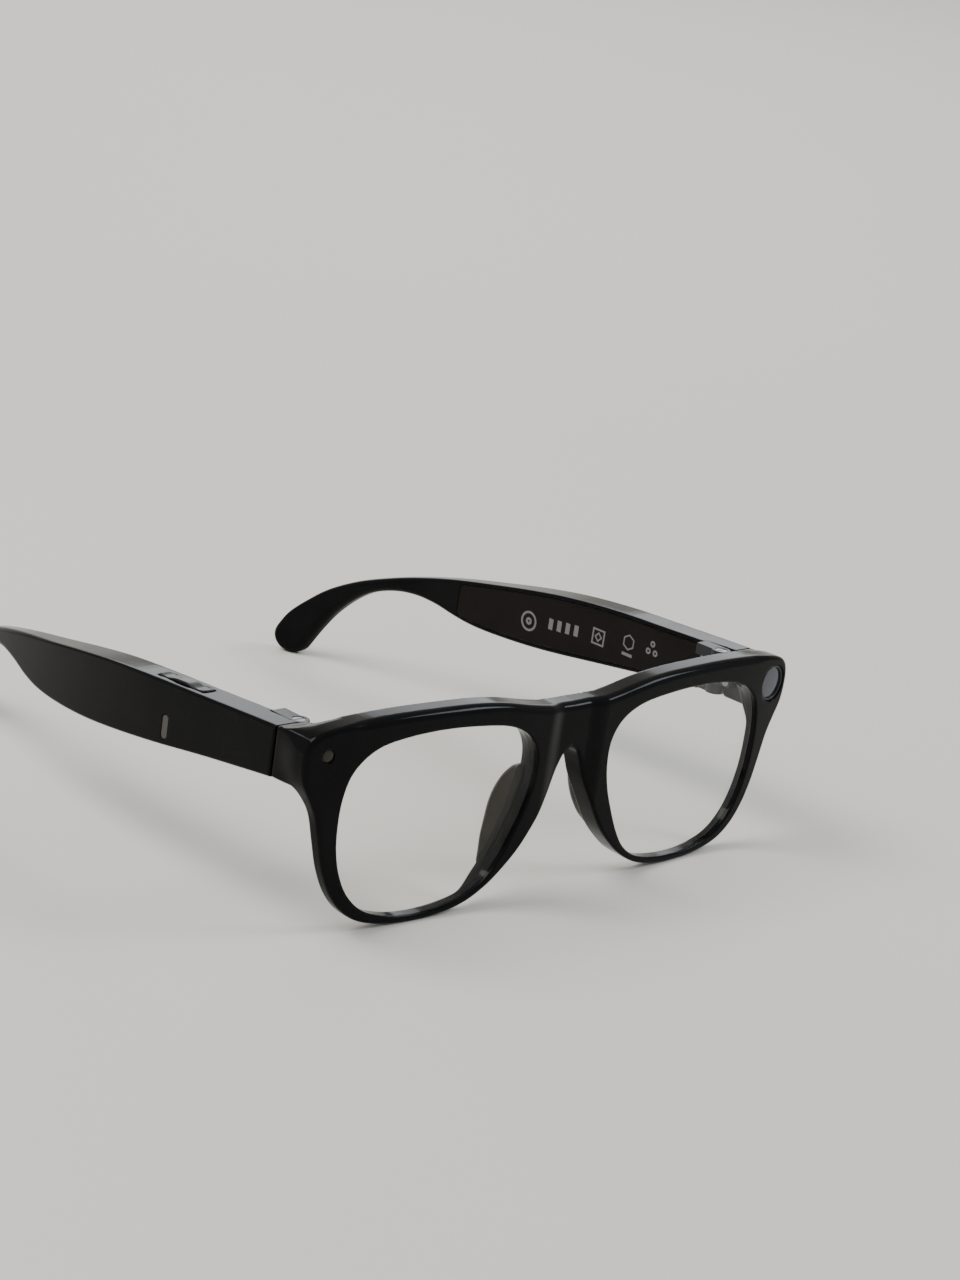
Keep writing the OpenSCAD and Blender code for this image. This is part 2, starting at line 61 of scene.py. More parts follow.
def curve(points, n, closed=False):
    """Smooth curve through the points, with n steps between each two."""
    p = np.array(points, float)
    count = len(p)
    out = []
    for i in range(count if closed else count - 1):
        if closed:
            a, b, c, d = (p[(i + k) % count] for k in (-1, 0, 1, 2))
        else:
            a, b, c, d = (p[min(max(i + k, 0), count - 1)] for k in (-1, 0, 1, 2))
        for k in range(n):
            t = k / n
            out.append(0.5 * (2 * b + (c - a) * t + (2 * a - 5 * b + 4 * c - d) * t * t
                              + (3 * b - a - 3 * c + d) * t ** 3))
    if not closed:
        out.append(p[-1])
    return np.array(out)


def ease(t):
    s = np.clip(t, 0, 1)
    return s * s * (3 - 2 * s)


OPENING = [
    (59.6, 2), (59.3, 8), (57.4, 13.3), (52.5, 17.2), (45, 18.8), (36, 19.3), (27, 18.9),
    (19, 17.8), (13.6, 15.3), (10.9, 11.3), (10.6, 6.2), (11.9, 0.5), (14.3, -5), (16.9, -9.9),
    (19.9, -13.8), (24.3, -16.6), (30, -18), (38, -18.6), (45, -17.9), (50.8, -16),
    (55, -12.5), (57.6, -8.1), (59.1, -3.1)]
HALF_OUTLINE = [
    (0, 20.2), (6, 20.4), (12, 21.2), (20, 22.6), (28, 23.3), (38, 23.5), (48, 23.4),
    (58, 22.8), (64, 21.9), (67.4, 20.5), (68.8, 18), (69, 14.6), (68.3, 11.2), (66.5, 7.8),
    (64.8, 4.2), (63.4, -1), (61.8, -6.5), (59.5, -11.4), (56.3, -15.3), (51.8, -18.1),
    (45.6, -19.6), (38, -20.1), (31, -19.7), (25, -18.4), (19.8, -15.8), (15.6, -12.5),
    (12, -8.9), (9.1, -4.8), (6.8, -0.8), (4.9, 3), (3.4, 6.8), (2, 9.4), (0, 10.6)]
TEMPLE_TOP = [
    (14.2, 19.9), (22, 19.5), (36, 18.7), (50, 17.9), (64, 16.6), (76, 14.8), (88, 12.6),
    (100, 10.3), (110, 7.9), (118, 5.5), (126, 2.5), (133.4, -1.5), (139, -6), (143, -10),
    (145.34, -13.8)]
TEMPLE_LOW = [
    (14.2, 9.6), (22, 8.6), (34, 7), (48, 4.9), (64, 2.7), (74, 1.6), (84, 1), (92, 1),
    (98, 1.7), (104, 2.9), (110, 3.4), (116, 2.7), (122, 0.6), (127, -2.9), (131.5, -7.6),
    (135, -12.7), (138.06, -18)]
TIP_R = 4.2
BUTT_Y = 14.2
PLAY = 0.05

# Front: depths are measured in from its bowed outer surface
BOW, END_BOW, END_BOW_FROM = 0.00072, 0.0015, 50
RIM_DEPTH = 2.9
BROW_DEPTH = 5.4
END_DEPTH = 14.0
BRIDGE_SET = 1.0
BRIDGE_HALF_W = 3.5
BRIDGE_RAMP = 5
GROOVE_Y = 0.7
LENS_T = 1.3
LENS_BITE = 0.4
BROW_COVER_T = 0.85
STRIP_HALF = 1.1
CAMERA_X, CAMERA_Z = 63.6, 15.9
INDICATOR_X, INDICATOR_Z = 64.0, 17.0
CAMERA_TURN = math.radians(8)
RING_R = 4.0
WINDOW_R = 3.5
INDICATOR_R = 1.3
CONTACT_Z = 14.6
CONTACT_Y = 3.6 + BRIDGE_SET

# Temples: straight to CURVE_FROM, then bent inwards
TEMPLE_T = 7.0
HOOK_T = 4.5
BUTT_X, SPREAD = 68.02, 0.03
TEMPLE_CURVE, CURVE_FROM = 0.00206, 42.4
HINGE = (60.6, 16.4)
BAY = (22.6, 97.0)
COVER_T = 1.1
COVER_INSET = 0.9
PLATE_X = 62.75
PLATE_Y = 22.35
BUTTON_SIZE = (3.0, 14.0)
PILL_R, PILL_HALF = 0.88, 1.6
PRINT_T = 0.03


def surface_y(x):
    """Outer surface of the front: bowed, with a step back at the bridge."""
    a = np.abs(x)
    return (BOW * a * a + END_BOW * np.maximum(a - END_BOW_FROM, 0) ** 2
            + BRIDGE_SET * (1 - ease((a - BRIDGE_HALF_W) / BRIDGE_RAMP)))


def surface_slope(x):
    """Slope of the bow, without the step beside the bridge."""
    a = np.abs(x)
    return 2 * BOW * a + 2 * END_BOW * np.maximum(a - END_BOW_FROM, 0)


def outer_x(y):
    """Outer face of a temple."""
    return BUTT_X + SPREAD * (y - 7) - TEMPLE_CURVE * np.maximum(y - CURVE_FROM, 0) ** 2


def lean(y):
    """Slope of a temple's outer face."""
    return SPREAD - 2 * TEMPLE_CURVE * np.maximum(y - CURVE_FROM, 0)


def thick(y):
    return TEMPLE_T - (TEMPLE_T - HOOK_T) * ease((y - 60) / 50)


def inner_x(y):
    return outer_x(y) - thick(y)


# ---------------------------------------------------------------------------------------------
# Solids as distances, negative inside, and their meshes

def both(a, b, r):
    """Where both are solid, with the edge between them rounded to radius r."""
    return np.minimum(np.maximum(a, b), -r) + np.hypot(np.maximum(a + r, 0), np.maximum(b + r, 0))


def either(a, b, r):
    """Where one is solid, with a fillet of radius r between them."""
    return -both(-a, -b, r)


def less(a, b, r):
    """Where a is solid and b is not, with the edge between them rounded."""
    return both(a, -b, r)


class Outline:
    """Distance to a closed outline, negative inside, read smoothly from a fine grid."""
    PITCH = 0.25
    MARGIN = 2.5

    def __init__(self, points):
        p = np.array(points, float)
        self.low = p.min(0) - self.MARGIN
        self.n = np.ceil((p.max(0) + self.MARGIN - self.low) / self.PITCH).astype(int) + 3
        x = (self.low[0] + self.PITCH * np.arange(self.n[0]))[:, None]
        y = (self.low[1] + self.PITCH * np.arange(self.n[1]))[None, :]
        best = np.full(self.n, 1e9)
        inside = np.zeros(self.n, bool)
        for a, b in zip(p, np.roll(p, -1, 0)):
            d = b - a
            t = np.clip(((x - a[0]) * d[0] + (y - a[1]) * d[1]) / (d @ d), 0, 1)
            best = np.minimum(best, (x - a[0] - t * d[0]) ** 2 + (y - a[1] - t * d[1]) ** 2)
            if a[1] != b[1]:
                between = (a[1] > y) != (b[1] > y)
                inside ^= between & (x < a[0] + (y - a[1]) * d[0] / d[1])
        self.grid = np.sqrt(best) * np.where(inside, -1, 1)

    def __call__(self, x, y):
        gx = np.clip((x - self.low[0]) / self.PITCH, 1, self.n[0] - 3)
        gy = np.clip((y - self.low[1]) / self.PITCH, 1, self.n[1] - 3)
        i, j = np.floor(gx).astype(int), np.floor(gy).astype(int)
        total = 0
        for a, wa in enumerate(self.weights(gx - i)):
            for b, wb in enumerate(self.weights(gy - j)):
                total = total + wa * wb * self.grid[i + a - 1, j + b - 1]
        return total

    @staticmethod
    def weights(t):
        return (0.5 * (-t + 2 * t * t - t ** 3), 0.5 * (2 - 5 * t * t + 3 * t ** 3),
                0.5 * (t + 4 * t * t - 3 * t ** 3), 0.5 * (t ** 3 - t * t))


def gradient(solid, p, h):
    """Slope of a distance at points, from steps of h to both sides."""
    g = np.empty_like(p)
    for a in range(3):
        d = np.zeros(3)
        d[a] = h
        g[:, a] = (solid(*(p + d).T) - solid(*(p - d).T)) / (2 * h)
    return g


def unit(v):
    return v / np.maximum(np.linalg.norm(v, axis=-1, keepdims=True), 1e-9)


def skin(solid, low, high, step, warp=lambda x, y, z: (x, y, z)):
    """Points, faces and normals of a solid's surface. Each cell of the grid that the surface
    crosses gets one point, on the surface or on the edge that the surface has there."""
    low = np.array(low, float)
    n = np.ceil((np.array(high, float) - low) / step).astype(int) + 1
    u, v, w = (low[a] + step * np.arange(n[a]) for a in range(3))
    value = solid(*warp(u[:, None, None], v[None, :, None], w[None, None, :]))
    value = np.broadcast_to(value, n)
    points, cells = [], []
    for a in range(3):
        b, c = (a + 1) % 3, (a + 2) % 3
        turned = np.transpose(value, (a, b, c))
        first, last = turned[:-1, 1:-1, 1:-1], turned[1:, 1:-1, 1:-1]
        where = np.argwhere((first < 0) != (last < 0))
        v0, v1 = first[tuple(where.T)], last[tuple(where.T)]
        index = np.empty((len(where), 3), int)
        index[:, a], index[:, b], index[:, c] = where[:, 0], where[:, 1] + 1, where[:, 2] + 1
        start = low + index * step
        end = start.copy()
        end[:, a] += step
        start, end = np.stack(warp(*start.T), 1), np.stack(warp(*end.T), 1)
        points.append(start + (v0 / (v0 - v1))[:, None] * (end - start))
        around = []
        for db, dc in ((0, 0), (1, 0), (1, 1), (0, 1)):
            cell = index.copy()
            cell[:, b] -= db
            cell[:, c] -= dc
            around.append(np.ravel_multi_index(cell.T, n))
        around = np.stack(around, 1)
        around[v0 > 0] = around[v0 > 0][:, ::-1]
        cells.append(around)
    points = np.concatenate(points)
    facing = unit(gradient(solid, points, 0.02))
    used, faces = np.unique(np.concatenate(cells), return_inverse=True)
    faces = faces.reshape(-1, 4)
    m, flat = len(used), faces.ravel()

    def gather(values):
        return np.bincount(flat, np.repeat(values, 4), m)

    count = np.bincount(flat, minlength=m)
    mean = np.stack([gather(points[:, a]) for a in range(3)], 1) / count[:, None]
    offset = np.sum(np.repeat(facing, 4, 0) * (np.repeat(points, 4, 0) - mean[flat]), 1)
    pull = np.stack([np.bincount(flat, np.repeat(facing[:, a], 4) * offset, m)
                     for a in range(3)], 1)
    spread = np.empty((m, 3, 3))
    for i in range(3):
        for j in range(3):
            spread[:, i, j] = gather(facing[:, i] * facing[:, j])
    move = np.linalg.solve(spread + 0.08 * np.eye(3), pull[..., None])[..., 0]
    size = np.linalg.norm(move, axis=1)[:, None]
    p = mean + move * np.minimum(1, 0.75 * step / np.maximum(size, 1e-9))
    g = gradient(solid, p, 0.02)
    near = solid(*p.T) / np.maximum(np.sum(g * g, 1), 0.25)
    p = p - np.clip(near, -0.3 * step, 0.3 * step)[:, None] * g
    normals = unit(gradient(solid, p, 0.05))
    corner = p[faces]
    across = np.cross(corner[:, 2] - corner[:, 0], corner[:, 3] - corner[:, 1])
    if np.sum(across * normals[faces[:, 0]]) < 0:
        faces = faces[:, ::-1]
    return p, faces, normals


def mirrored(shape):
    """The same skin for the other side of the glasses."""
    p, faces, normals = shape
    flip = np.array([-1, 1, 1])
    return p * flip, faces[:, ::-1], normals * flip


def add(name, points, faces, body, replaced, material, normals=None, angle=35):
    """A piece from points in millimetres, which rides on a body and stands for CAD nodes."""
    mesh = bpy.data.meshes.new(name)
    faces = [tuple(f) for f in faces]
    mesh.from_pydata(row(points).tolist(), [], faces)
    mesh.polygons.foreach_set("use_smooth", [True] * len(mesh.polygons))
    if normals is None:
        mesh.set_sharp_from_angle(angle=math.radians(angle))
    else:
        mesh.normals_split_custom_set_from_vertices(normals.tolist())
    mesh.materials.append(material)
    o = bpy.data.objects.new(name, mesh)
    bpy.context.scene.collection.objects.link(o)
    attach(o, body)
    if replaced:
        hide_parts(*replaced)
    return o


# ---------------------------------------------------------------------------------------------
# Materials: every one is made of nodes, in object space

def material(name, colour, rough, metal=0.0, specular=0.5, rough_change=0.0, change_scale=90.0,
             bump=0.0, bump_scale=900.0, tint=0.0, scratches=0.0):
    """A plastic or metal: blotches and fine scratches vary its roughness, and a grain its bump."""
    m = bpy.data.materials.new(name)
    m.use_nodes = True
    nodes, links = m.node_tree.nodes, m.node_tree.links
    shader = nodes["Principled BSDF"]
    shader.inputs["Metallic"].default_value = metal
    shader.inputs["Specular IOR Level"].default_value = specular
    place = nodes.new("ShaderNodeTexCoord").outputs["Object"]

    blotch = nodes.new("ShaderNodeTexNoise")
    blotch.inputs["Scale"].default_value = change_scale
    blotch.inputs["Detail"].default_value = 6
    links.new(place, blotch.inputs["Vector"])
    spread = nodes.new("ShaderNodeMapRange")
    spread.inputs["From Min"].default_value = 0.35
    spread.inputs["From Max"].default_value = 0.7
    spread.inputs["To Min"].default_value = rough
    spread.inputs["To Max"].default_value = rough + rough_change
    links.new(blotch.outputs["Fac"], spread.inputs["Value"])
    roughness = spread.outputs["Result"]

    if scratches:
        stretch = nodes.new("ShaderNodeMapping")
        stretch.inputs["Rotation"].default_value = (0.3, 0.5, 0.7)
        stretch.inputs["Scale"].default_value = (4000, 120, 900)
        links.new(place, stretch.inputs["Vector"])
        lines = nodes.new("ShaderNodeTexNoise")
        lines.inputs["Scale"].default_value = 1.0
        lines.inputs["Detail"].default_value = 2
        links.new(stretch.outputs["Vector"], lines.inputs["Vector"])
        sharp = nodes.new("ShaderNodeMapRange")
        sharp.inputs["From Min"].default_value = 0.66
        sharp.inputs["From Max"].default_value = 0.74
        sharp.inputs["To Max"].default_value = scratches
        links.new(lines.outputs["Fac"], sharp.inputs["Value"])
        total = nodes.new("ShaderNodeMath")
        total.operation = "ADD"
        links.new(roughness, total.inputs[0])
        links.new(sharp.outputs["Result"], total.inputs[1])
        roughness = total.outputs["Value"]
    links.new(roughness, shader.inputs["Roughness"])

    shade = nodes.new("ShaderNodeMixRGB")
    shade.inputs["Color1"].default_value = (*colour, 1)
    lighter = [min(1, c * (1 + tint) + 0.01 * tint) for c in colour]
    shade.inputs["Color2"].default_value = (*lighter, 1)
    links.new(blotch.outputs["Fac"], shade.inputs["Fac"])
    links.new(shade.outputs["Color"], shader.inputs["Base Color"])

    if bump:
        grain = nodes.new("ShaderNodeTexNoise")
        grain.inputs["Scale"].default_value = bump_scale
        grain.inputs["Detail"].default_value = 3
        links.new(place, grain.inputs["Vector"])
        height = nodes.new("ShaderNodeBump")
        height.inputs["Strength"].default_value = 0.3
        height.inputs["Distance"].default_value = bump * MM
        links.new(grain.outputs["Fac"], height.inputs["Height"])
        links.new(height.outputs["Normal"], shader.inputs["Normal"])
    return m


def clear_glass(name, tint, head_on):
    """Thin clear lens: what is behind it shows through, and its faces mirror by Fresnel."""
    m = bpy.data.materials.new(name)
    m.use_nodes = True
    nodes, links = m.node_tree.nodes, m.node_tree.links
    nodes.remove(nodes["Principled BSDF"])
    out = nodes["Material Output"]
    through = nodes.new("ShaderNodeBsdfTransparent")
    through.inputs["Color"].default_value = (*tint, 1)
    gloss = nodes.new("ShaderNodeBsdfGlossy")
    gloss.inputs["Roughness"].default_value = 0.02
    edge = nodes.new("ShaderNodeLayerWeight")
    power = nodes.new("ShaderNodeMath")
    power.operation = "POWER"
    power.inputs[1].default_value = 5
    share = nodes.new("ShaderNodeMath")
    share.operation = "MULTIPLY_ADD"
    share.inputs[1].default_value = 1 - head_on
    share.inputs[2].default_value = head_on
    mix = nodes.new("ShaderNodeMixShader")
    links.new(edge.outputs["Facing"], power.inputs[0])
    links.new(power.outputs["Value"], share.inputs[0])
    links.new(share.outputs["Value"], mix.inputs["Fac"])
    links.new(through.outputs["BSDF"], mix.inputs[1])
    links.new(gloss.outputs["BSDF"], mix.inputs[2])
    links.new(mix.outputs["Shader"], out.inputs["Surface"])
    return m


M = {
    "gloss_frame": material("gloss_black", (0.0008, 0.0008, 0.0011), 0.05, rough_change=0.06,
                            specular=0.07, bump=0.02, bump_scale=260, scratches=0.12, tint=0.5),
    "inner_cover": material("cover_black", (0.003, 0.0016, 0.0012), 0.08, rough_change=0.08,
                            specular=0.09, bump=0.02, bump_scale=300, scratches=0.12, tint=0.5),
    "nose_pad": material("pad_black", (0.008, 0.006, 0.003), 0.12, rough_change=0.1,
                         specular=0.16, bump=0.03, bump_scale=200, tint=0.8),
    "clear_lens": clear_glass("lens_clear", (0.985, 0.99, 0.985), 0.02),
    "dark_bezel": material("bezel_black", (0.008, 0.010, 0.014), 0.3, rough_change=0.1,
                           bump=0.02, bump_scale=1500),
    "camera_glass": material("camera_glass", (0.012, 0.018, 0.032), 0.04, rough_change=0.05,
                             specular=0.7, scratches=0.1, tint=0.6),
    "indicator_lens": material("indicator_smoke", (0.014, 0.012, 0.007), 0.12, rough_change=0.1,
                               specular=0.3, tint=0.4),
    "led_lens": material("led_yellow", (0.75, 0.62, 0.2), 0.3, rough_change=0.2, tint=0.2),
    "circuit_board": material("board_green", (0.012, 0.09, 0.035), 0.4, rough_change=0.2,
                              bump=0.05, bump_scale=1400, tint=1.2, change_scale=600),
    "flex_film": material("flex_amber", (0.35, 0.13, 0.02), 0.3, rough_change=0.2, tint=0.6),
    "brass_can": material("brass", (0.60, 0.42, 0.16), 0.28, metal=1, rough_change=0.2,
                          tint=0.3, scratches=0.2),
    "gold_contact": material("gold", (0.80, 0.55, 0.20), 0.2, metal=1, rough_change=0.15,
                             tint=0.2, scratches=0.25),
    "hinge_steel": material("hinge_dark_steel", (0.022, 0.023, 0.025), 0.3, metal=0.7,
                            rough_change=0.15, bump=0.02, bump_scale=900, tint=0.6,
                            scratches=0.25),
    "screw_steel": material("screw_steel", (0.22, 0.22, 0.23), 0.28, metal=1,
                            rough_change=0.15, tint=0.5, scratches=0.3),
    "black_chip": material("chip_black", (0.012, 0.012, 0.013), 0.5, rough_change=0.2,
                           bump=0.03, bump_scale=2500, tint=1),
    "tin_shield": material("tin", (0.5, 0.5, 0.48), 0.35, metal=1, rough_change=0.2,
                           scratches=0.2, tint=0.3),
    "speaker_box": material("speaker_black", (0.02, 0.02, 0.022), 0.5, rough_change=0.15,
                            bump=0.03, bump_scale=1800, tint=1),
    "grille": material("grille_dark", (0.06, 0.06, 0.065), 0.35, metal=1, rough_change=0.2,
                       scratches=0.2, tint=0.5),
    "badge": material("badge_grey", (0.05, 0.047, 0.04), 0.35, metal=0.4, rough_change=0.15,
                      scratches=0.2, tint=0.5),
    "battery_foil": material("foil", (0.45, 0.46, 0.47), 0.4, metal=0.8, rough_change=0.2,
                             bump=0.15, bump_scale=300, tint=0.4),
    "button": material("button_black", (0.004, 0.004, 0.005), 0.16, rough_change=0.08,
                       specular=0.2, scratches=0.15, tint=0.5),
    "print": material("print_grey", (0.13, 0.125, 0.12), 0.5, rough_change=0.2,
                      change_scale=1200, tint=0.3),
}

# ---------------------------------------------------------------------------------------------
# Front

outline = Outline(np.concatenate([
    curve(HALF_OUTLINE, 6), curve(HALF_OUTLINE, 6)[-2:0:-1] * (-1, 1)]))
opening = Outline(curve(OPENING, 8, closed=True))
BROW_LINE = [(-56, 19.9), (-48, 20.9), (-36, 21.2), (-24, 20.8), (-12, 19.1), (0, 18.9),
             (12, 19.1), (24, 20.8), (36, 21.2), (48, 20.9), (56, 19.9)]
brow_line = curve(BROW_LINE, 4)
strip = Outline(np.concatenate([brow_line - (0, STRIP_HALF), brow_line[::-1] + (0, STRIP_HALF)]))


def depth_in(x, y):
    """How far a point is behind the bowed outer surface of the front."""
    return (y - surface_y(x)) / np.hypot(1, surface_slope(x))


def fullness(x, z):
    """1 where the front has its full depth, falling to 0 in the shallow lower rims."""
    return np.maximum(ease((z - 6) / 7), ease((26 - np.abs(x)) / 8))


def rear_at(x, z):
    return RIM_DEPTH + (BROW_DEPTH - RIM_DEPTH) * fullness(x, z)


def looking_out(x, z):
    """Centre and direction of the camera, or with a negative x of the indicator."""
    turn = math.copysign(CAMERA_TURN, x)
    return (np.array([x, float(surface_y(x)), z]),
            np.array([math.sin(turn), -math.cos(turn), 0]))


def round_hole(place, x, y, z, radius, floor):
    """Round recess along an axis, from floor outwards."""
    centre, out = place
    d = (x - centre[0], y - centre[1], z - centre[2])
    h = d[0] * out[0] + d[1] * out[1] + d[2] * out[2]
    across = np.sqrt(np.maximum(d[0] ** 2 + d[1] ** 2 + d[2] ** 2 - h * h, 1e-9))
    return both(across - radius, floor - h, 0.05)


CAMERA = looking_out(CAMERA_X, CAMERA_Z)
INDICATOR = looking_out(-INDICATOR_X, INDICATOR_Z)


def box(x, y, z, low, high, r):
    """Distance to a block with rounded edges."""
    a = both(low[0] - x, x - high[0], r)
    b = both(low[1] - y, y - high[1], r)
    c = both(low[2] - z, z - high[2], r)
    return both(both(a, b, r), c, r)


def front_solid(x, y, z):
    v = depth_in(x, y)
    side = np.abs(x)
    # The outline's edge is round in front, most of all along the brow
    nose = 0.7 + ease((z - 8) / 8) * (1.1 - 0.8 * ease((side - 55) / 6))
    # Behind the end pieces, the outline runs over into the section of the temples
    back = ease((y - 6.5) / 7) * ease((side - 57.5) / 2.5) * ease((z - 8.6) / 1.8)
    wall = (1 - back) * outline(x, z) + back * both(side - outer_x(BUTT_Y), z - 20.6, 1.2)
    block = both(both(z - 22.5 + 2.5 * back, 9.7 - z, 0.6), 60.5 - side, 0.5)
    rear_side = either(v - rear_at(x, z), both(block, y - END_DEPTH, 0.3), 0.7)
    whole = both(both(wall, -v, nose), rear_side, 0.6)
    # The opening widens in front of the lens and behind it
    flare = 0.2 * np.sqrt(np.maximum(np.abs(v - GROOVE_Y - LENS_T / 2) - 1.1, 0) ** 2 + 0.01)
    whole = both(whole, flare - opening(side, z), 0.4)
    whole = less(whole, round_hole(CAMERA, x, y, z, RING_R + PLAY, -1.6), 0.12)
    whole = less(whole, round_hole(INDICATOR, x, y, z, INDICATOR_R + PLAY, -1.5), 0.12)
    seat = both(strip(x, z) - 0.1, BROW_DEPTH - BROW_COVER_T - PLAY - v, 0.05)
    whole = less(whole, seat, 0.15)
    contact = box(x, y, z, (-4.1, CONTACT_Y, CONTACT_Z - 0.1), (4.1, 10, CONTACT_Z + 2.9), 0.3)
    return less(whole, contact, 0.15)


front_step = 0.34 if FINE else 0.55
front = skin(front_solid, (-70, -1, -21.8), (70, 15.2, 24.2), front_step)
add("front_shell", front[0], front[1], "front", ["front_frame"],
    M["gloss_frame"], front[2])


def brow_cover_solid(x, y, z):
    v = depth_in(x, y)
    cover = both(strip(x, z) + PLAY, v - BROW_DEPTH, 0.2)
    return both(cover, BROW_DEPTH - BROW_COVER_T - v, 0.1)


points, faces, normals = skin(brow_cover_solid, (-59, 3, 16), (59, 13, 24), front_step)
add("brow_panel", points, faces, "front", ["brow_cover"], M["inner_cover"], normals)

# Nose pads: a ridge that rises from the nasal side of each rim
PAD_LINE = [(7.5, 8.8), (4, 9.5), (1, 10.4), (-2, 11.4), (-5, 12.5), (-8, 14.1), (-12, 17.1),
            (-15, 20)]
PAD_HEIGHT = [(8, 0), (6.5, 1.6), (4, 3.5), (1, 4.5), (-2, 4.6), (-5, 4.0), (-8, 2.9),
              (-11, 1.4), (-13.5, 0), (-15, 0)]


def through(points, z):
    """Smooth value at height z of a curve given from the top down."""
    fine = curve(points, 10)[::-1]
    return np.interp(z, fine[:, 0], fine[:, 1])


def pad_solid(x, y, z):
    rear = surface_y(x) + rear_at(x, z) - 0.6
    rise = through(PAD_HEIGHT, z) + 0.6
    mid = through(PAD_LINE, z) + 0.05 * (y - rear)
    across = np.abs(x - mid) * 0.88 - 2.1 + 0.06 * (y - rear) + 0.9 * ease((-7 - z) / 6)
    ridge = both(across, (y - rear - rise) * 0.85, 1.7)
    ends = both(z - 7.2, -13.2 - z, 0.1)
    return both(both(ridge, ends, 1.2), rear - y, 0.05)


pad_step = 0.35 if FINE else 0.5
pad = skin(pad_solid, (4, 3.5, -16.5), (24, 16, 9.5), pad_step)
for side, shape in (("left", pad), ("right", mirrored(pad))):
    add("nose_rest_" + side, shape[0], shape[1], "front", ["nose_pad_" + side],
        M["nose_pad"], shape[2])


def lens_shape():
    """Bowed disc in the groove of the opening: rings from its middle out to its edge."""
    edge = curve(OPENING, 6, closed=True)
    centre = np.array([36.0, 0.0])
    along = unit(np.roll(edge, -1, 0) - np.roll(edge, 1, 0))
    out = np.stack([-along[:, 1], along[:, 0]], 1)
    edge = edge + LENS_BITE * out * np.sign(np.sum(out * (edge - centre)))
    n = len(edge)
    rings = [centre + (edge - centre) * s for s in np.linspace(0.08, 1, 18)]
    points, faces = [], []
    for depth in (GROOVE_Y, GROOVE_Y + LENS_T):
        for ring in rings:
            points += [(x, float(surface_y(x)) + depth, z) for x, z in ring]
        points.append((centre[0], float(surface_y(centre[0])) + depth, centre[1]))
    layer = n * len(rings) + 1
    for i in range(n):
        j = (i + 1) % n
        for k in range(len(rings) - 1):
            a, b = k * n, (k + 1) * n
            faces.append((a + i, b + i, b + j, a + j))
            faces.append((layer + a + j, layer + b + j, layer + b + i, layer + a + i))
        faces.append((layer - 1, i, j))
        faces.append((2 * layer - 1, layer + j, layer + i))
        last = (len(rings) - 1) * n
        faces.append((last + i, layer + last + i, layer + last + j, last + j))
    return np.array(points), faces


points, faces = lens_shape()
add("lens_glass_left", points, faces, "front", ["lens_left"], M["clear_lens"])
add("lens_glass_right", points * (-1, 1, 1), [f[::-1] for f in faces], "front",
    ["lens_right"], M["clear_lens"])


def turned(name, profile, place, body, slot, replaced, mat, angle=25, count=72):
    """Round piece: a profile of (radius, height) turned about an axis."""
    centre, axis = place
    axis = unit(np.array(axis, float))
    side = unit(np.cross(axis, (0.0, 0.0, 1.0)) if abs(axis[2]) < 0.9 else np.array([1.0, 0, 0]))
    up = np.cross(axis, side)
    points, faces = [], []
    for radius, height in profile:
        for i in range(count):
            a = 2 * math.pi * i / count
            points.append(centre + axis * height
                          + radius * (math.cos(a) * side + math.sin(a) * up))
    for k in range(len(profile) - 1):
        for i in range(count):
            j = (i + 1) % count
            faces.append((k * count + i, k * count + j, (k + 1) * count + j, (k + 1) * count + i))
    if profile[0][0] > 0:
        faces.append(tuple(range(count))[::-1])
    if profile[-1][0] > 0:
        faces.append(tuple((len(profile) - 1) * count + i for i in range(count)))
    return add(name, points, faces, body, replaced, mat, angle=angle)


def arc(centre, radius, start, end, count=5):
    """Points of a rounded corner in a profile, angles in degrees."""
    return [(centre[0] + radius * math.cos(math.radians(a)),
             centre[1] + radius * math.sin(math.radians(a)))
            for a in np.linspace(start, end, count)]


ring_top = -0.25
turned("camera_bezel",
       [(WINDOW_R + 0.02, -1.55), (RING_R - 0.05, -1.55)]
       + arc((RING_R - 0.2, ring_top - 0.15), 0.15, 0, 90)
       + arc((WINDOW_R + 0.22, ring_top - 0.2), 0.2, 90, 180)
       + [(WINDOW_R + 0.02, -1.54)],
       CAMERA, "front", "dark_bezel", ["camera_ring"], M["dark_bezel"])
dome = [(WINDOW_R * math.sin(a), -0.72 + 0.16 * math.cos(a))
        for a in np.linspace(math.pi / 2, 0.02, 14)]
turned("camera_cover_glass", [(WINDOW_R, -1.4), (WINDOW_R, -0.75)] + dome, CAMERA, "front",
       "camera_glass", ["camera_window"], M["camera_glass"])
turned("indicator_cover",
       [(INDICATOR_R, -1.5), (INDICATOR_R, -0.35)]
       + [(INDICATOR_R * math.sin(a), -0.35 + 0.2 * math.cos(a))
          for a in np.linspace(math.pi / 2 - 0.1, 0.02, 8)],
       INDICATOR, "front", "indicator_lens", ["indicator_window"], M["indicator_lens"])

# ---------------------------------------------------------------------------------------------
# Temples, drawn for the wearer's left and mirrored for the right

tip_arc = [(TIP_Y - TIP_R + TIP_R * math.cos(a), TIP_R - LENS_Z + TIP_R * math.sin(a))
           for a in np.radians(np.arange(-142, 26, 8))]
side_view = Outline(np.concatenate([
    curve(TEMPLE_LOW, 6), tip_arc, curve(TEMPLE_TOP, 6)[::-1]]))


def inside_temple(y, z, tilt=0.0):
    """Centre and axes of the temple's own frame at a place along it."""
    turn, tilt = -math.atan(float(lean(y))), math.radians(tilt)
    centre = Vector(((float(outer_x(y)) + float(inner_x(y))) / 2 + 0.05, y, z))
    axes = Matrix.Rotation(turn, 3, "Z") @ Matrix.Rotation(tilt, 3, "X")
    return np.array(centre), np.array(axes)


def seen_from(place, x, y, z):
    """Coordinates in a temple frame."""
    centre, axes = place
    d = (x - centre[0], y - centre[1], z - centre[2])
    return [sum(d[i] * axes[i, k] for i in range(3)) for k in range(3)]


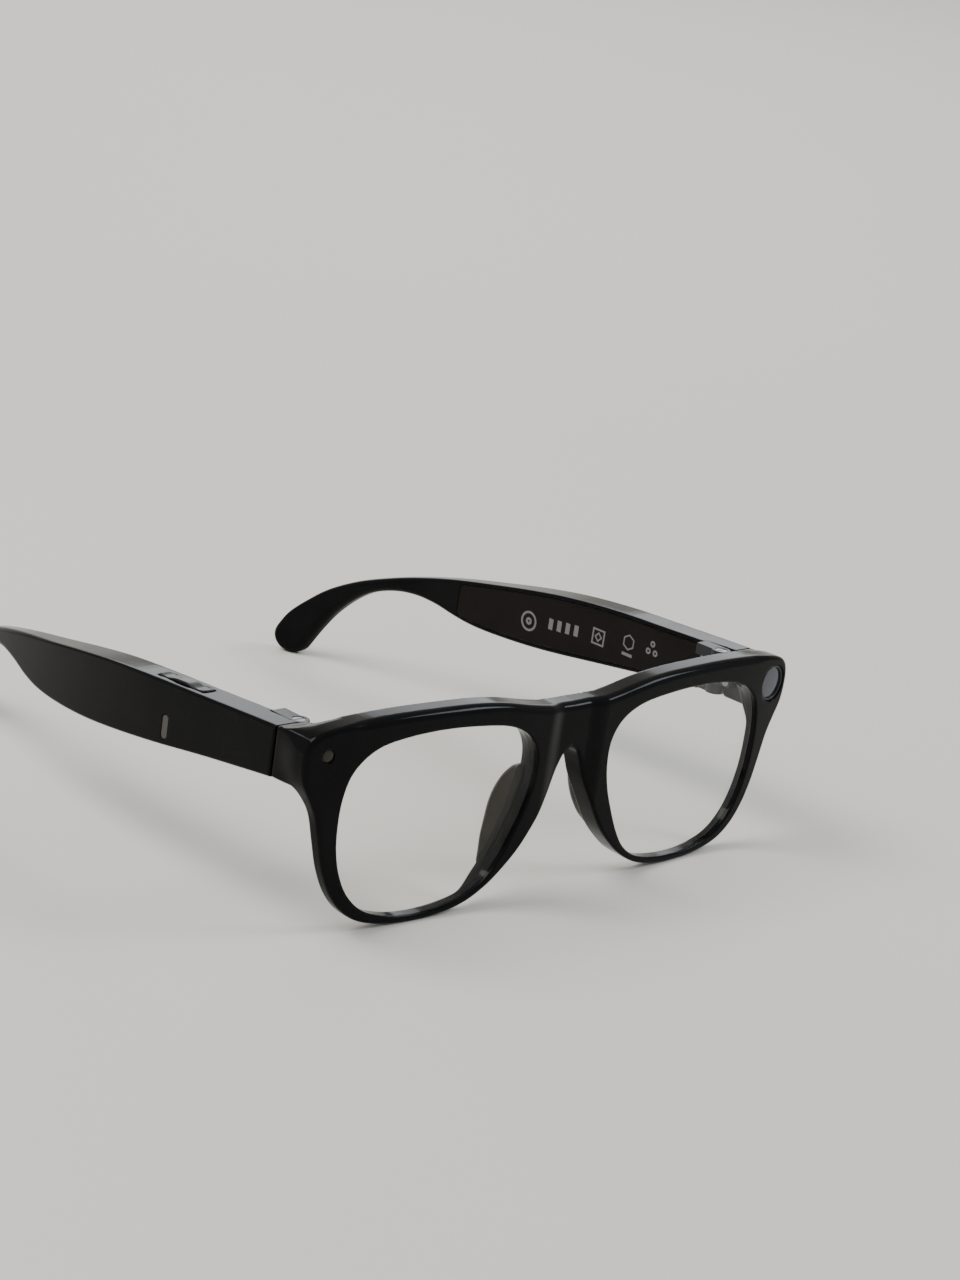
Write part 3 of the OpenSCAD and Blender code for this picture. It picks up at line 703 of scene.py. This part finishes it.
def slab(x, y):
    """Distances behind the outer face and in front of the inner face."""
    u = outer_x(y) - x
    length = np.hypot(1, lean(y))
    return -u / length, (u - thick(y)) / length


def cover_area(y, z):
    return both(both(side_view(y, z) + COVER_INSET, BAY[0] - y, 0.8), y - BAY[1], 0.8)


BUTTON = inside_temple(44, 18.2, -3.2)
SLIDER = inside_temple(33, 7.1, -8)
GRILLE = inside_temple(80, 0.6)
BADGE = inside_temple(45, 9.2)


def shell_solid(x, y, z, control):
    outside, inside = slab(x, y)
    r = 0.6 + 1.1 * ease((y - 85) / 40)
    body = both(both(side_view(y, z), outside, r), inside, r)
    body = both(body, BUTT_Y - y, 0.3)
    seat = both(cover_area(y, z) - 0.06, -inside - COVER_T - 0.1, 0.05)
    body = less(body, seat, 0.06)
    knuckle = np.hypot(x - HINGE[0], y - HINGE[1]) - 2.3
    recess = np.minimum(knuckle, both(x - PLATE_X, y - PLATE_Y, 0.2))
    body = less(body, recess, 0.25)
    a, b, c = seen_from(GRILLE, x, y, z)
    body = less(body, box(a, b, c, (-1.15, -6.05, -2), (1.15, 6.05, 1.3), 0.3), 0.12)
    a, b, c = seen_from(BADGE, x, y, z)
    pill = np.hypot(b, np.maximum(np.abs(c) - PILL_HALF, 0)) - PILL_R
    body = less(body, both(pill, TEMPLE_T / 2 - 0.35 - a, 0.05), 0.08)
    if control == "button":
        a, b, c = seen_from(BUTTON, x, y, z)
        w, n = BUTTON_SIZE[0] / 2 + 0.1, BUTTON_SIZE[1] / 2 + 0.1
        return less(body, box(a, b, c, (-w, -n, -1.5), (w, n, 4), 0.5), 0.12)
    a, b, c = seen_from(SLIDER, x, y, z)
    return less(body, box(a, b, c, (-1.2, -3.6, -3), (1.2, 3.6, 0.3), 0.4), 0.15)


def bent(u, y, z):
    """Grid that follows the temple: u is measured in from its outer face."""
    return outer_x(y) - u + 0 * z, y + 0 * u + 0 * z, z + 0 * u + 0 * y


temple_step = 0.36 if FINE else 0.6
TEMPLE_LOW_CORNER, TEMPLE_HIGH_CORNER = (-1, 13, -22), (8.2, 147.6, 21.2)
for side, control in (("left", "slider"), ("right", "button")):
    shape = skin(lambda x, y, z: shell_solid(x, y, z, control), TEMPLE_LOW_CORNER,
                 TEMPLE_HIGH_CORNER, temple_step, bent)
    if side == "right":
        shape = mirrored(shape)
    add("temple_body_" + side, shape[0], shape[1], side + "_temple",
        ["temple_shell_" + side], M["gloss_frame"], shape[2])


def cover_solid(x, y, z):
    outside, inside = slab(x, y)
    return both(both(cover_area(y, z) + 0.02, inside, 0.1), -inside - COVER_T, 0.1)


cover = skin(cover_solid, (4, 20.5, -2), (8.2, 99, 20.5), temple_step, bent)
for side, shape in (("left", cover), ("right", mirrored(cover))):
    add("inner_panel_" + side, shape[0], shape[1], side + "_temple",
        ["temple_cover_" + side], M["inner_cover"], shape[2])


def button_solid(x, y, z):
    a, b, c = seen_from(BUTTON, x, y, z)
    top = 0.45 + 0.15 * np.exp(-(b / 2.6) ** 4) - 0.3 * np.exp(-((np.abs(b) - 4.8) / 1.7) ** 2)
    w, n = BUTTON_SIZE[0] / 2, BUTTON_SIZE[1] / 2
    plan = both(both(a - w, -a - w, 0.1), both(b - n, -b - n, 0.1), 0.7)
    return both(both(plan, c - top, 0.3), -0.4 - c, 0.1)


button = mirrored(skin(button_solid, (61, 36, 15), (70, 52, 20.5), 0.2 if FINE else 0.35))
add("capture_key", button[0], button[1], "capture_button", ["capture_button"],
    M["button"], button[2])

# ---------------------------------------------------------------------------------------------
# Generic marks printed on the inner face of the left temple

def on_inner_face(y, z, raised):
    return (float(inner_x(y)) - raised, y, z)


def print_mark(name, loops):
    """Thin raised print: each band lies between two loops of points in Y and Z."""
    points, faces = [], []
    for outer, inner in loops:
        n, base = len(outer), len(points)
        for raised in (-0.02, PRINT_T):
            points += [on_inner_face(y, z, raised) for y, z in outer]
            points += [on_inner_face(y, z, raised) for y, z in inner]
        for i in range(n):
            j = (i + 1) % n
            o0, o1, i0, i1 = base + i, base + j, base + n + i, base + n + j
            t = 2 * n
            faces.append((o0 + t, o1 + t, i1 + t, i0 + t))
            faces.append((o0, i0, i1, o1))
            faces.append((o0, o1, o1 + t, o0 + t))
            faces.append((i1, i0, i0 + t, i1 + t))
    return add(name, points, faces, "left_temple", [], M["print"], angle=20)


def polygon(y, z, radius, sides, turn=0.0):
    return [(y + radius * math.cos(math.radians(turn) + 2 * math.pi * i / sides),
             z + radius * math.sin(math.radians(turn) + 2 * math.pi * i / sides))
            for i in range(sides)]


def hollow(y, z, radius, width, sides, turn=0.0):
    return (polygon(y, z, radius, sides, turn), polygon(y, z, radius - width, sides, turn))


def bar(y, z, length, height):
    """Solid bar: a band that shrinks to its middle."""
    corners = [(y + a * length / 2, z + b * height / 2)
               for a, b in ((-1, -1), (1, -1), (1, 1), (-1, 1))]
    return corners, [(y + 0.02 * (a - y), z + 0.02 * (b - z)) for a, b in corners]


print_mark("print_marks_left",
           [hollow(75, 7.6, 2.4, 0.55, 40), hollow(75, 7.6, 0.9, 0.6, 24)]
           + [bar(y, 9.3 - 0.1 * (y - 64.5), 1.3, 2.6) for y in (60.4, 63.0, 65.6, 68.2)]
           + [hollow(53.6, 10.4, 2.7, 0.6, 4, 45), hollow(53.6, 10.4, 1.2, 0.5, 4, 0)]
           + [hollow(44.3, 12.1, 1.9, 0.4, 6, 30), bar(44.3, 9.2, 3.2, 0.7)]
           + [hollow(37 + 1.25 * math.cos(a), 12.8 + 1.25 * math.sin(a), 0.75, 0.45, 16)
              for a in np.radians([90, 210, 330])])

# ---------------------------------------------------------------------------------------------
# CAD pieces that keep their shape: softened edges and their own finishes

finish_of = {entry["node"]: entry["material_slot"] for entry in frame["record"]["subparts"]}
for name, node in frame["nodes"].items():
    node.data.materials.clear()
    node.data.materials.append(M[finish_of[name]])
    if node.hide_render:
        continue
    weld = node.modifiers.new("weld", "WELD")
    weld.merge_threshold = 0.002 * MM
    soft = node.modifiers.new("soft_edges", "BEVEL")
    soft.width = 0.12 * MM
    soft.segments = 2
    soft.limit_method = "ANGLE"
    soft.angle_limit = math.radians(40)
    soft.harden_normals = False

# ---------------------------------------------------------------------------------------------
# Stage, light and camera

def stage_floor():
    """Pale floor that curves up into a plain wall behind the object."""
    size, wall_y, bend, height = 1.6, 0.9, 0.35, 1.4
    profile = [(-size, 0.0), (wall_y - bend, 0.0)]
    profile += [(wall_y - bend + bend * math.sin(a), bend - bend * math.cos(a))
                for a in np.linspace(0.1, math.pi / 2, 12)]
    profile.append((wall_y, height))
    turn = Matrix.Rotation(-math.radians(46.2), 4, "Z")
    points = [tuple(turn @ Vector((x, y, z))) for x in (-2.2, 2.2) for y, z in profile]
    n = len(profile)
    faces = [(i, i + 1, n + i + 1, n + i) for i in range(n - 1)]
    mesh = bpy.data.meshes.new("pale_floor")
    mesh.from_pydata(points, [], faces)
    mesh.polygons.foreach_set("use_smooth", [True] * len(faces))
    mesh.materials.append(material("pale_floor", (0.72, 0.69, 0.64), 0.6, rough_change=0.1,
                                   tint=0.03, change_scale=6, specular=0.2))
    o = bpy.data.objects.new("pale_floor", mesh)
    bpy.context.scene.collection.objects.link(o)


stage_floor()


def soft_light(name, place, target, size, power, colour):
    data = bpy.data.lights.new(name, "AREA")
    data.shape = "RECTANGLE"
    data.size, data.size_y = size
    data.energy = power
    data.color = colour
    o = bpy.data.objects.new(name, data)
    bpy.context.scene.collection.objects.link(o)
    o.location = place
    o.rotation_euler = (Vector(target) - Vector(place)).to_track_quat("-Z", "Y").to_euler()
    return o


soft_light("key", (-0.5, 0.35, 0.9), (0, 0, 0.02), (0.7, 0.5), 9, (1.0, 0.98, 0.95))
soft_light("fill", (0.7, -0.5, 0.7), (0, 0, 0.02), (0.32, 0.24), 3.4, (0.85, 0.92, 1.0))
soft_light("back", (0.56, 0.54, 0.30), (0, 0, 0.02), (0.7, 0.22), 1.0, (0.88, 0.94, 1.0))

world = bpy.data.worlds.new("studio")
bpy.context.scene.world = world
world.use_nodes = True
world.node_tree.nodes["Background"].inputs["Color"].default_value = (0.80, 0.83, 0.85, 1)
world.node_tree.nodes["Background"].inputs["Strength"].default_value = 0.8

CAMERA_PLACE = (-405.91, -358.31, 193.77)
LOOK_TURN = math.radians(46.21)
LOOK_DOWN = math.radians(16.81)
ROLL = math.radians(8.47)
LENS_MM = 106.9


def make_camera():
    right = Vector((math.cos(LOOK_TURN), -math.sin(LOOK_TURN), 0))
    ahead = Vector((math.sin(LOOK_TURN) * math.cos(LOOK_DOWN),
                    math.cos(LOOK_TURN) * math.cos(LOOK_DOWN), -math.sin(LOOK_DOWN)))
    up = right.cross(ahead)
    right = right * math.cos(ROLL) + up * math.sin(ROLL)
    up = right.cross(ahead)
    data = bpy.data.cameras.new("view")
    data.sensor_fit = "HORIZONTAL"
    data.sensor_width = 36
    data.lens = LENS_MM
    data.clip_start = 0.01
    o = bpy.data.objects.new("view", data)
    bpy.context.scene.collection.objects.link(o)
    turn = Matrix((right, up, -ahead)).transposed().to_4x4()
    o.matrix_world = Matrix.Translation(Vector(row(CAMERA_PLACE))) @ turn
    bpy.context.scene.camera = o


make_camera()
